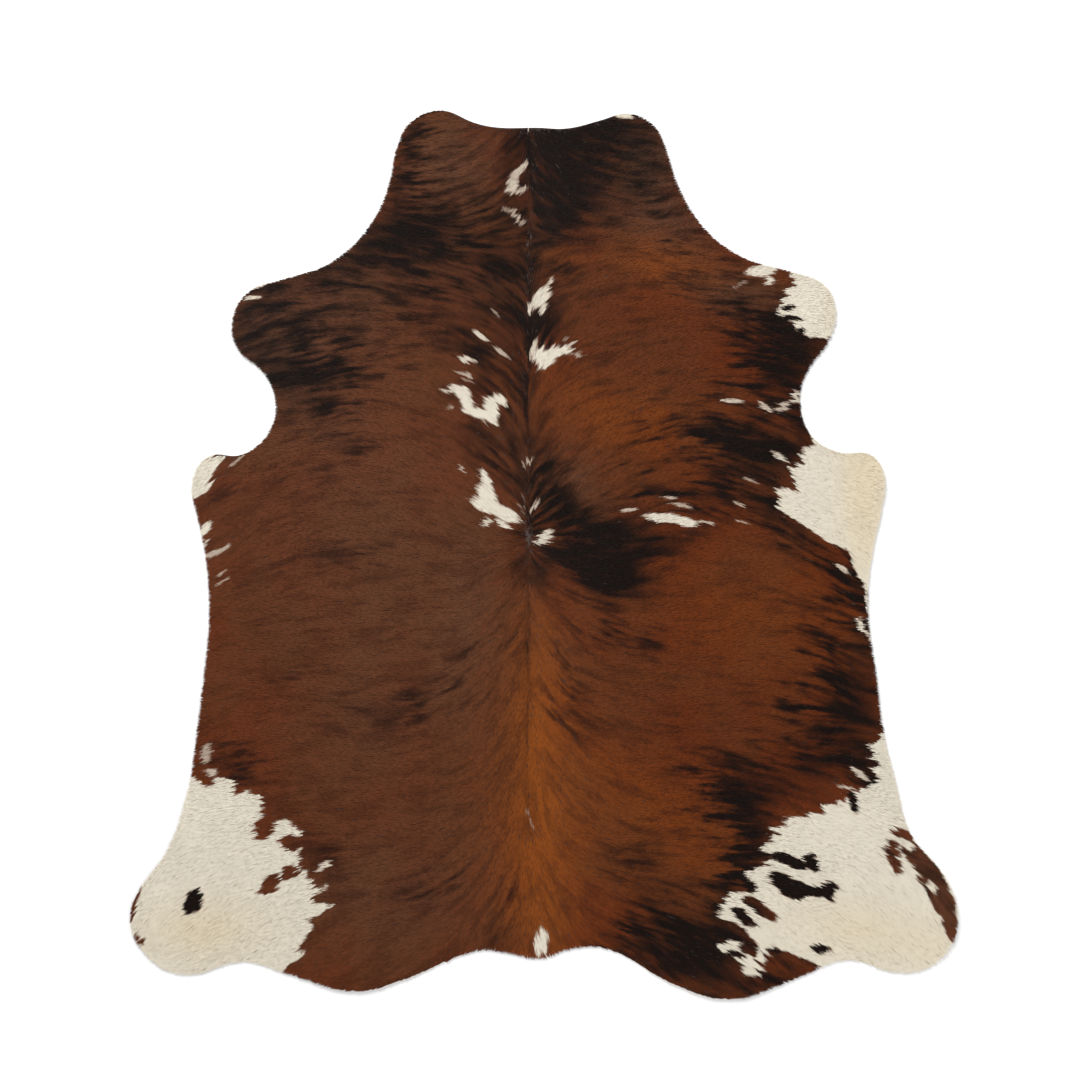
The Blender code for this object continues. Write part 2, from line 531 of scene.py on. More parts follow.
# Each white leg marking is drawn round its edge; the hair feathers it.
WHITE_AREAS = {
    "right foreleg cap": (
        (0.642, 0.68), (0.636, 0.63), (0.63, 0.592), (0.608, 0.582),
        (0.614, 0.566), (0.592, 0.546), (0.588, 0.508), (0.622, 0.51),
        (0.628, 0.475), (0.655, 0.45), (0.692, 0.448), (0.77, 0.45),
        (0.8, 0.56), (0.74, 0.68),
    ),
    "right elbow": (
        (0.68, 0.19), (0.63, 0.158), (0.634, 0.122), (0.595, 0.1),
        (0.612, 0.06), (0.555, 0.044), (0.562, 0.002), (0.625, -0.042),
        (0.67, -0.078), (0.722, -0.1), (0.735, -0.15), (0.762, -0.205),
        (0.8, -0.205), (0.86, 0.04), (0.83, 0.2),
    ),
    "left elbow tip": (
        (-0.799, 0.17), (-0.804, 0.127), (-0.772, 0.13), (-0.783, 0.107),
        (-0.804, 0.085), (-0.793, 0.062), (-0.81, 0.042), (-0.832, 0.027),
        (-0.88, 0.02), (-0.88, 0.17),
    ),
    "left hind leg": (
        (-0.83, -0.628), (-0.786, -0.632), (-0.768, -0.655), (-0.746, -0.65),
        (-0.73, -0.628), (-0.704, -0.64), (-0.694, -0.672), (-0.652, -0.656),
        (-0.64, -0.69), (-0.6, -0.715), (-0.56, -0.735), (-0.545, -0.765),
        (-0.538, -0.8), (-0.528, -0.838), (-0.508, -0.854), (-0.5, -0.9),
        (-0.468, -0.912), (-0.505, -0.938), (-0.52, -0.975), (-0.535, -0.996),
        (-0.514, -1.008), (-0.56, -1.036), (-0.6, -1.1), (-0.95, -1.1),
        (-0.98, -0.88), (-0.88, -0.72),
    ),
    "right hind leg": (
        (0.79, -0.52), (0.735, -0.57), (0.752, -0.6), (0.742, -0.648),
        (0.716, -0.655), (0.66, -0.686), (0.628, -0.698), (0.59, -0.722),
        (0.548, -0.718), (0.532, -0.736), (0.504, -0.742), (0.5, -0.768),
        (0.48, -0.786), (0.508, -0.8), (0.492, -0.822), (0.45, -0.838),
        (0.452, -0.876), (0.396, -0.89), (0.39, -0.938), (0.452, -0.966),
        (0.456, -0.986), (0.392, -0.98), (0.382, -1.004), (0.424, -1.018),
        (0.432, -1.052), (0.462, -1.05), (0.484, -1.003), (0.53, -1.003),
        (0.6, -1.035), (0.66, -1.1), (0.96, -1.1), (0.98, -0.88),
        (0.83, -0.56),
    ),
}
# Columns: x, y, length, width, heading in degrees, whiteness.
WHITE_TICKS = (
    # right neck corner, top of the neck, and down the nape
    (0.212, 1.09, 0.07, 0.03, -10, 1.0),
    (-0.04, 1.04, 0.03, 0.008, 80, 0.7),
    (-0.056, 0.928, 0.048, 0.018, 50, 0.62),
    (-0.076, 0.902, 0.056, 0.022, 62, 0.58),
    (-0.078, 0.876, 0.05, 0.026, 75, 0.64),
    (-0.056, 0.864, 0.036, 0.016, 35, 0.58),
    (-0.094, 0.804, 0.036, 0.01, -15, 0.42),
    (-0.07, 0.788, 0.05, 0.016, -40, 0.52),
    (-0.05, 0.772, 0.024, 0.01, 60, 0.45),
    # over the withers, right of the spine
    (0.01, 0.59, 0.05, 0.016, 75, 0.66),
    (-0.004, 0.56, 0.066, 0.034, 62, 0.85),
    (-0.028, 0.54, 0.046, 0.014, 45, 0.75),
    (0.002, 0.532, 0.034, 0.018, 75, 0.75),
    (-0.024, 0.422, 0.05, 0.014, 75, 0.7),
    (-0.012, 0.402, 0.044, 0.028, 60, 0.85),
    (0.01, 0.394, 0.056, 0.04, 60, 1.0),
    (0.042, 0.412, 0.066, 0.026, 15, 1.0),
    (0.07, 0.43, 0.03, 0.01, 40, 0.6),
    (0.086, 0.404, 0.044, 0.008, 0, 0.52),
    (0.056, 0.446, 0.024, 0.008, 60, 0.35),
    # left of the spine, above the hook-shaped patch
    (-0.122, 0.518, 0.036, 0.007, -58, 0.4),
    (-0.154, 0.452, 0.04, 0.013, -38, 0.75),
    (-0.104, 0.409, 0.052, 0.011, -40, 0.55),
    (-0.188, 0.388, 0.042, 0.014, -5, 0.75),
    (-0.19, 0.348, 0.034, 0.009, -5, 0.55),
    (-0.188, 0.333, 0.024, 0.007, 0, 0.35),
    # the hook-shaped patch
    (-0.226, 0.312, 0.046, 0.014, 25, 0.7),
    (-0.199, 0.302, 0.04, 0.032, -10, 1.0),
    (-0.188, 0.276, 0.056, 0.026, -65, 1.0),
    (-0.164, 0.248, 0.056, 0.022, -5, 1.0),
    (-0.13, 0.252, 0.06, 0.034, 60, 1.0),
    (-0.116, 0.284, 0.044, 0.026, 5, 0.95),
    (-0.128, 0.228, 0.036, 0.014, -30, 0.85),
    (-0.228, 0.262, 0.026, 0.009, 25, 0.45),
    # the patch before the whorl
    (-0.196, 0.104, 0.028, 0.007, -50, 0.55),
    (-0.14, 0.078, 0.05, 0.02, -72, 0.95),
    (-0.136, 0.042, 0.06, 0.044, -60, 1.0),
    (-0.134, 0.01, 0.086, 0.036, -22, 1.0),
    (-0.09, -0.012, 0.062, 0.034, -30, 1.0),
    (-0.096, -0.036, 0.036, 0.014, -30, 0.85),
    (-0.14, -0.028, 0.03, 0.014, 50, 0.7),
    (-0.046, 0.112, 0.022, 0.006, -65, 0.4),
    (-0.036, 0.115, 0.026, 0.007, 50, 0.5),
    (-0.018, 0.014, 0.032, 0.012, 48, 0.6),
    (-0.054, 0.02, 0.05, 0.005, 88, 0.3),
    (0.002, -0.068, 0.046, 0.022, 52, 0.9),
    # across the ribs, right of the spine
    (0.206, 0.0, 0.036, 0.01, 5, 0.6),
    (0.3, 0.03, 0.034, 0.008, -8, 0.55),
    (0.336, 0.01, 0.06, 0.01, -14, 0.5),
    (0.286, -0.02, 0.09, 0.024, -6, 1.0),
    (0.334, -0.03, 0.06, 0.024, -12, 1.0),
    (0.382, -0.03, 0.044, 0.009, -8, 0.55),
    (0.471, 0.013, 0.03, 0.008, -20, 0.5),
    (0.478, -0.032, 0.024, 0.007, -20, 0.45),
    (0.495, 0.077, 0.028, 0.008, -15, 0.45),
    (0.572, 0.135, 0.044, 0.013, -35, 0.75),
    # right shoulder, above the armpit
    (0.463, 0.28, 0.05, 0.012, -4, 0.65),
    (0.545, 0.264, 0.05, 0.014, -42, 0.6),
    (0.588, 0.264, 0.044, 0.018, 25, 0.6),
    (0.62, 0.29, 0.036, 0.02, 60, 0.75),
    # right foreleg
    (0.556, 0.632, 0.08, 0.03, 8, 0.95),
    (0.57, 0.606, 0.03, 0.018, 60, 0.8),
    (0.492, 0.594, 0.04, 0.01, 45, 0.35),
    # left foreleg
    (-0.722, 0.588, 0.05, 0.01, 15, 0.6),
    (-0.735, 0.556, 0.04, 0.012, 8, 0.75),
    # left belly
    (-0.748, 0.118, 0.04, 0.008, 45, 0.45),
    (-0.806, -0.05, 0.044, 0.02, 60, 0.95),
    (-0.808, -0.084, 0.03, 0.01, 70, 0.7),
    (-0.776, -0.106, 0.07, 0.014, 25, 0.55),
    (-0.758, -0.158, 0.034, 0.006, 42, 0.45),
    (-0.756, -0.178, 0.036, 0.007, 40, 0.45),
    (-0.764, -0.578, 0.05, 0.026, 80, 0.5),
    (-0.75, -0.62, 0.03, 0.014, -20, 0.6),
    # right belly rim, with a stripe running down from it
    (0.766, -0.24, 0.1, 0.012, 96, 0.9),
    (0.706, -0.145, 0.036, 0.012, -40, 0.65),
    (0.748, -0.29, 0.07, 0.012, -58, 0.8),
    (0.776, -0.36, 0.12, 0.008, 92, 0.7),
    # strokes over the right hind leg
    (0.706, -0.622, 0.05, 0.012, -40, 0.65),
    (0.676, -0.652, 0.05, 0.008, -15, 0.6),
    # holes in the right hind leg's end spots
    (0.808, -0.78, 0.036, 0.018, -30, 0.95),
    (0.85, -0.866, 0.034, 0.016, -60, 0.9),
    # beside the left hind leg, and the tail
    (-0.489, -0.824, 0.026, 0.014, 60, 0.7),
    (-0.486, -0.872, 0.034, 0.01, 50, 0.55),
    (-0.005, -0.985, 0.06, 0.03, 82, 0.95),
    (-0.032, -0.722, 0.05, 0.005, -65, 0.3),
)
# Black spots inside the white. Columns as above, with strength last.
BLACK_SPOTS = (
    # left hind leg
    (-0.77, -0.901, 0.056, 0.04, 75, 0.92),
    # right hind leg
    (0.532, -0.808, 0.06, 0.024, -12, 0.95),
    (0.558, -0.82, 0.04, 0.024, -20, 0.95),
    (0.592, -0.816, 0.044, 0.034, -70, 0.95),
    (0.522, -0.855, 0.05, 0.034, -30, 1.0),
    (0.55, -0.874, 0.08, 0.04, -12, 1.0),
    (0.602, -0.878, 0.044, 0.026, 0, 1.0),
    (0.628, -0.876, 0.036, 0.04, -10, 1.0),
    (0.45, -0.862, 0.05, 0.03, -50, 0.9),
    (0.603, -1.0, 0.044, 0.018, -8, 0.95),
    (0.692, -0.686, 0.05, 0.018, -80, 0.95),
    (0.5, -1.002, 0.036, 0.01, -10, 0.8),
    # right foreleg cap's edge
    (0.614, 0.53, 0.03, 0.02, 0, 0.9),
    (0.63, 0.5, 0.036, 0.014, -20, 0.9),
    (0.646, 0.466, 0.024, 0.014, -50, 0.9),
)
# Brown spots inside the white. Columns as above.
BROWN_SPOTS = (
    # left hind leg
    (-0.62, -0.742, 0.052, 0.042, 70, 1.0),
    (-0.604, -0.712, 0.05, 0.03, -10, 1.0),
    (-0.562, -0.776, 0.046, 0.034, -20, 1.0),
    (-0.6, -0.863, 0.044, 0.038, 40, 1.0),
    (-0.56, -0.838, 0.038, 0.032, 20, 1.0),
    (-0.9, -0.9, 0.1, 0.018, 84, 1.0),
    (-0.879, -0.98, 0.034, 0.018, -60, 1.0),
    # right hind leg
    (0.47, -0.912, 0.07, 0.026, -38, 1.0),
    (0.496, -0.93, 0.04, 0.02, -30, 1.0),
    (0.436, -0.932, 0.056, 0.028, -40, 1.0),
    (0.424, -0.966, 0.08, 0.03, -35, 1.0),
    (0.446, -0.992, 0.05, 0.034, -70, 1.0),
    (0.42, -1.011, 0.036, 0.014, -20, 1.0),
    # right hind leg's end
    (0.8, -0.757, 0.06, 0.024, -25, 1.0),
    (0.772, -0.796, 0.054, 0.03, 78, 1.0),
    (0.778, -0.824, 0.034, 0.024, -80, 1.0),
    (0.828, -0.806, 0.09, 0.044, -48, 1.0),
    (0.854, -0.848, 0.09, 0.056, -52, 1.0),
    (0.872, -0.898, 0.09, 0.05, -62, 1.0),
    (0.889, -0.948, 0.08, 0.034, -82, 1.0),
)
# Black clouds in the brown, and one strip of painted shade at the neck's left edge. Columns as
# above, with strength last.
BLACK_CLOUDS_AND_EDGE_SHADE = (
    # neck
    (0.03, 0.9, 0.46, 0.19, 90, 0.9),
    (0.12, 0.91, 0.34, 0.22, 80, 0.6),
    (0.14, 1.04, 0.4, 0.13, 0, 0.8),
    (0.27, 0.94, 0.34, 0.18, -75, 0.45),
    (0.33, 0.8, 0.34, 0.16, -50, 0.32),
    (-0.07, 0.99, 0.16, 0.12, 90, 0.45),
    # painted shade: a dark strip along the neck's left edge
    (-0.355, 0.93, 0.36, 0.08, 82, 0.7),
    (-0.25, 0.96, 0.34, 0.26, 88, 0.28),
    (-0.2, 0.8, 0.26, 0.16, 20, 0.3),
    (-0.29, 0.705, 0.28, 0.17, -10, 0.75),
    (-0.41, 0.72, 0.3, 0.12, 42, 0.6),
    (-0.35, 0.56, 0.7, 0.32, 5, 0.48),
    (-0.11, 0.64, 0.3, 0.14, 80, 0.35),
    # left foreleg
    (-0.7, 0.48, 0.26, 0.26, 0, 0.62),
    (-0.59, 0.36, 0.28, 0.13, 0, 0.8),
    (-0.545, 0.25, 0.18, 0.12, -10, 0.45),
    (-0.478, 0.165, 0.13, 0.07, -8, 0.45),
    (-0.6, 0.6, 0.24, 0.06, 12, 0.45),
    # withers and spine
    (-0.06, 0.47, 0.62, 0.11, 88, 0.5),
    (-0.15, 0.39, 0.26, 0.16, -60, 0.45),
    (-0.14, 0.17, 0.2, 0.14, -50, 0.6),
    (0.005, 0.48, 0.1, 0.08, 75, 0.8),
    (-0.045, 0.25, 0.5, 0.016, 90, 0.35),
    (-0.037, -0.4, 0.56, 0.012, 90, 0.4),
    (0.005, 0.14, 0.16, 0.09, 80, 0.6),
    (0.024, 0.06, 0.16, 0.09, -60, 0.65),
    (0.08, -0.03, 0.22, 0.11, -30, 0.75),
    # behind the whorl and over the ribs
    (-0.03, -0.15, 0.13, 0.11, -60, 0.65),
    (0.11, -0.13, 0.26, 0.13, -25, 0.95),
    (0.17, -0.165, 0.17, 0.1, -5, 0.9),
    (0.19, -0.06, 0.32, 0.09, 4, 0.65),
    (0.27, -0.1, 0.2, 0.06, 8, 0.6),
    (0.31, 0.045, 0.36, 0.04, -4, 0.6),
    (0.4, -0.01, 0.16, 0.04, -8, 0.4),
    (0.22, 0.12, 0.2, 0.05, -10, 0.4),
    (0.23, -0.32, 0.22, 0.06, -10, 0.45),
    (0.08, -0.44, 0.14, 0.06, -60, 0.4),
    (0.065, -0.53, 0.12, 0.03, -52, 0.45),
    # right shoulder and foreleg
    (0.6, 0.4, 0.28, 0.24, 60, 0.95),
    (0.545, 0.49, 0.16, 0.11, -20, 0.5),
    (0.47, 0.57, 0.3, 0.11, -15, 0.35),
    (0.44, 0.69, 0.2, 0.08, -38, 0.35),
    (0.4, 0.21, 0.2, 0.07, -12, 0.5),
    (0.52, 0.15, 0.32, 0.16, -12, 0.85),
    (0.64, 0.22, 0.18, 0.08, -50, 0.55),
    (0.52, 0.02, 0.24, 0.11, -25, 0.6),
    (0.66, -0.12, 0.26, 0.08, -48, 0.6),
    # left ribs and belly
    (-0.48, -0.11, 0.18, 0.06, 8, 0.4),
    (-0.63, -0.165, 0.18, 0.06, 12, 0.32),
    (-0.6, 0.09, 0.24, 0.06, 8, 0.3),
    (-0.33, -0.475, 0.16, 0.08, 12, 0.6),
    (-0.49, -0.48, 0.18, 0.08, 8, 0.32),
    (-0.62, -0.41, 0.12, 0.05, 10, 0.25),
    (-0.72, -0.6, 0.14, 0.09, -30, 0.6),
    (-0.2, -0.38, 0.2, 0.07, 50, 0.35),
    (-0.48, -0.8, 0.2, 0.08, -55, 0.4),
    (-0.28, -0.88, 0.18, 0.1, 15, 0.42),
    (-0.1, -0.95, 0.18, 0.08, 75, 0.45),
    (-0.77, 0.06, 0.16, 0.06, 80, 0.35),
    # right belly and flank
    (0.745, -0.22, 0.24, 0.08, -78, 0.75),
    (0.7, -0.42, 0.34, 0.18, 88, 0.75),
    (0.62, -0.52, 0.24, 0.14, 20, 0.45),
    (0.56, -0.62, 0.24, 0.12, 15, 0.55),
    (0.72, -0.62, 0.14, 0.08, -40, 0.85),
    # right hip and rump
    (0.43, -0.68, 0.24, 0.12, -62, 0.85),
    (0.445, -0.81, 0.24, 0.09, 88, 0.8),
    (0.32, -1.0, 0.32, 0.18, -12, 1.0),
    (0.41, -0.92, 0.16, 0.07, -20, 0.55),
    (0.5, -1.06, 0.18, 0.06, 15, 0.6),
    (0.21, -0.83, 0.22, 0.13, -60, 0.35),
    (0.86, -0.87, 0.32, 0.14, -60, 0.45),
    (-0.56, -0.8, 0.26, 0.1, -55, 0.2),
)
# Ginger warmth. Columns as above, with strength last.
GINGER_GLOW = (
    (-0.015, -0.36, 0.42, 0.09, 90, 0.35),
    (-0.012, -0.64, 0.5, 0.1, 90, 0.75),
    (-0.012, -0.66, 0.56, 0.24, 90, 0.4),
    (-0.01, -0.9, 0.26, 0.12, 90, 0.5),
    (0.25, -0.72, 0.42, 0.2, -40, 0.3),
    (0.17, 0.23, 0.4, 0.2, -20, 0.35),
    (0.3, 0.65, 0.28, 0.12, -15, 0.4),
    (0.03, 0.66, 0.12, 0.1, 80, 0.4),
    (0.48, -0.25, 0.5, 0.3, -10, 0.2),
)
# Painted sheen: ashy brown where the hair's gloss greys it under the light. Columns as above.
PAINTED_SHEEN_AREAS = (
    (0.27, 0.94, 0.3, 0.13, -75, 1.0),
    (0.3, 0.79, 0.3, 0.18, -30, 0.7),
    (-0.24, 0.95, 0.32, 0.28, 88, 0.85),
    (-0.35, 0.64, 0.7, 0.36, 10, 0.5),
    (-0.64, 0.44, 0.4, 0.34, 0, 0.8),
    (0.48, 0.57, 0.26, 0.11, -15, 0.7),
    (-0.42, 0.1, 0.7, 0.64, 0, 0.45),
    (-0.36, -0.4, 0.9, 0.64, 88, 0.48),
    (-0.17, -0.24, 0.4, 0.13, 82, 0.6),
    (0.86, -0.87, 0.32, 0.14, -60, 0.7),
    (-0.32, -0.9, 0.5, 0.3, 10, 0.5),
    (0.08, 0.06, 0.24, 0.12, -70, 0.5),
)
# Where the brown is streaked with black, tiger-fashion. Columns as above.
BRINDLE = (
    (0.35, 0.3, 0.8, 0.9, 0, 0.55),
    (0.46, 0.16, 0.5, 0.3, -15, 0.6),
    (0.28, -0.28, 0.56, 0.34, -12, 0.5),
    (0.62, -0.48, 0.5, 0.36, 60, 0.6),
    (0.38, -0.8, 0.5, 0.4, -60, 0.5),
    (0.1, -0.48, 0.36, 0.16, -60, 0.5),
    (-0.16, -0.45, 0.6, 0.16, 75, 0.45),
    (-0.5, 0.25, 0.5, 0.4, 0, 0.4),
    (-0.45, -0.25, 0.8, 0.7, 0, 0.3),
    (-0.3, 0.66, 0.6, 0.3, 10, 0.4),
)
# Cream-yellow in the white. Columns as above.
CREAM_TINT = (
    (0.77, 0.02, 0.36, 0.11, 86, 0.9),
    (0.79, 0.1, 0.12, 0.11, 0, 0.6),
    (-0.745, -0.96, 0.24, 0.12, 0, 0.75),
    (0.69, -0.96, 0.28, 0.12, -5, 0.6),
    (0.86, -1.0, 0.18, 0.1, 0, 0.45),
    (0.74, 0.52, 0.16, 0.08, 80, 0.3),
)


# How far the hair carries the edge of a marking along its lie, in metres.
BROAD_FEATHERING = 0.0045
FINE_FEATHERING = 0.0060
# The share of it that reaches each kind of marking.
SPOT_FEATHERING = 0.6
TICK_FEATHERING = 0.7
CLOUD_FEATHERING = 2.5
WHITE_EDGE = 0.003
SPOT_SOFTNESS = 0.15
TICK_SOFTNESS = 0.25
SPOT_COVER = 1.4
CLOUD_FALL = 0.9
# Shares of the three maps in the streaks, and what the streaks do to the black.
BROAD_SHARE = 0.35
FINE_SHARE = 0.25
MOTTLE_SHARE = 0.40
STREAK_LIMITS = (-1.0, 1.5)
CLOUD_STREAKING = 0.20
CLOUD_ONSET = 2.5
BRINDLE_ONSET = 0.10
BRINDLE_DEPTH = 0.60


def within(ellipse, x, y):
    """Each place along and across an ellipse, as shares of its half axes."""
    centre_x, centre_y, length, width, heading = ellipse
    angle = math.radians(heading)
    along = (x - centre_x) * math.cos(angle) + (y - centre_y) * math.sin(angle)
    across = (y - centre_y) * math.cos(angle) - (x - centre_x) * math.sin(angle)
    return along / (length / 2), across / (width / 2)


def in_ellipses(table, x, y, softness):
    """The strongest of a table's soft ellipses at each place."""
    strength = np.zeros(len(x))
    for *ellipse, most in table:
        away = np.hypot(*within(ellipse, x, y))
        edge = np.clip((1.0 + softness - away) / (2 * softness), 0.0, 1.0)
        strength = np.maximum(strength, most * edge * edge * (3 - 2 * edge))
    return strength


def in_clouds(table, x, y):
    """A table's ellipses added up as soft clouds."""
    clear = np.ones(len(x))
    for *ellipse, most in table:
        along, across = within(ellipse, x, y)
        clear *= 1.0 - most * np.exp(-(along**2 + across**2) * CLOUD_FALL)
    return 1.0 - clear


def coat_at(x, y):
    """White, black, ginger, painted sheen and cream, each 0 to 1, at each place."""
    broad, fine = read_map(broad_streaks, x, y), read_map(fine_streaks, x, y)
    mottle = read_map(mottles, x, y)
    way_x, way_y = lie_at(x, y)
    shift = broad * BROAD_FEATHERING + fine * FINE_FEATHERING

    def feathered(share):
        """The places carried along the hair by a share of the feathering."""
        return x + way_x * shift * share, y + way_y * shift * share

    white = np.zeros(len(x))
    felt = np.stack(feathered(1.0), axis=1)
    for outline in WHITE_AREAS.values():
        inside = distance_inside(felt, np.array(outline))
        white = np.maximum(white, np.clip(0.5 + inside / WHITE_EDGE, 0.0, 1.0))
    near = feathered(SPOT_FEATHERING)
    black_spots = in_ellipses(BLACK_SPOTS, *near, SPOT_SOFTNESS)
    brown_spots = in_ellipses(BROWN_SPOTS, *near, SPOT_SOFTNESS)
    spotted = np.minimum(1.0, np.maximum(black_spots, brown_spots) * SPOT_COVER)
    ticks = in_ellipses(WHITE_TICKS, *feathered(TICK_FEATHERING), TICK_SOFTNESS)
    white = np.maximum(white * (1.0 - spotted), ticks)
    far = feathered(CLOUD_FEATHERING)
    streaked = broad * BROAD_SHARE + fine * FINE_SHARE + mottle * MOTTLE_SHARE
    streaked = np.clip(streaked, *STREAK_LIMITS)
    # The black includes one strip of painted shade along the neck's left edge.
    black = in_clouds(BLACK_CLOUDS_AND_EDGE_SHADE, *far)
    onset = np.minimum(1.0, black * CLOUD_ONSET)
    black = np.clip(black + streaked * CLOUD_STREAKING * onset, 0.0, 1.0)
    brindle = in_clouds(BRINDLE, *far) * np.clip(streaked - BRINDLE_ONSET, 0.0, 1.0)
    black = np.maximum(1.0 - (1.0 - black) * (1.0 - brindle * BRINDLE_DEPTH), black_spots)
    ginger = in_clouds(GINGER_GLOW, *far)
    # Painted sheen: a grey cast where the hair's gloss catches the light.
    painted_sheen = in_clouds(PAINTED_SHEEN_AREAS, *far)
    cream = in_clouds(CREAM_TINT, x, y)
    return white, black, ginger, painted_sheen, cream


leather_points = recall(leather_mesh, "position")
skin_x, skin_y, _ = leather_points.T
level = np.zeros(len(leather_points))
store(leather_mesh, "coat", np.stack([coat_at(skin_x, skin_y)[0], level, level], axis=1))
store(leather_mesh, "lie", np.stack([*lie_at(skin_x, skin_y), level], axis=1))
rim_distance = distance_inside(leather_points[:, :2], hide_outline)
store(leather_mesh, "rim_distance", rim_distance, "FLOAT")


# --------------------------------------
# The hair
# Short straight hair, about 20 mm long, lying almost flat and overlapping like
# thatch; it is trimmed with the leather at the rim. Each lock is a thin tapered
# blade that stands for a few hairs, planted all over the grain side.
# --------------------------------------

HAIR_LENGTH = 0.022
LOCK_WIDTH = 0.0022
HAIR_RISE = 0.0019
RIM_OVERHANG = 0.004
LOCK_SPACING = 0.0019
LOCKS_PER_SQUARE_METRE = 200000.0
LOCK_POINTS = 5
ROOT_WIDTH = 0.8
ROOT_DEPTH = 0.0004
BEND_AT = 0.48
BEND_RISE = 0.85
SHORTEST_TRIM = 0.30
PLANTING_SEED = 3
# Least, most, seed: each lock's own leaning and roll, then its own length,
# width and rise as shares of the full ones.
OWN_LEANING = ((-0.08, -0.08, -0.01), (0.08, 0.08, 0.02), 5)
OWN_ROLL = ((-0.07, -0.07, 0.0), (0.07, 0.07, 0.0), 6)
OWN_LENGTH = (0.78, 1.22, 7)
OWN_WIDTH = (0.75, 1.25, 8)
OWN_RISE = (0.70, 1.30, 9)


def make_lock():
    """One lock, pointing along +X from its root, one hair length long."""
    half = LOCK_WIDTH / 2
    rows = ((0.0, half * ROOT_WIDTH, -ROOT_DEPTH), (BEND_AT, half, HAIR_RISE * BEND_RISE))
    lock = bmesh.new()
    left = [lock.verts.new((HAIR_LENGTH * along, width, z)) for along, width, z in rows]
    right = [lock.verts.new((HAIR_LENGTH * along, -width, z)) for along, width, z in rows]
    tip = lock.verts.new((HAIR_LENGTH, 0.0, HAIR_RISE))
    lock.faces.new((right[0], right[1], left[1], left[0]))
    lock.faces.new((right[1], tip, left[1]))
    mesh = made(lock, "lock")
    mesh.shade_smooth()
    order = [vertex.co for vertex in mesh.vertices]
    strand = [(co.x / HAIR_LENGTH, co.y / half, 0.0) for co in order]
    store(mesh, "strand", np.array(strand))
    return bpy.data.objects.new("lock", mesh)


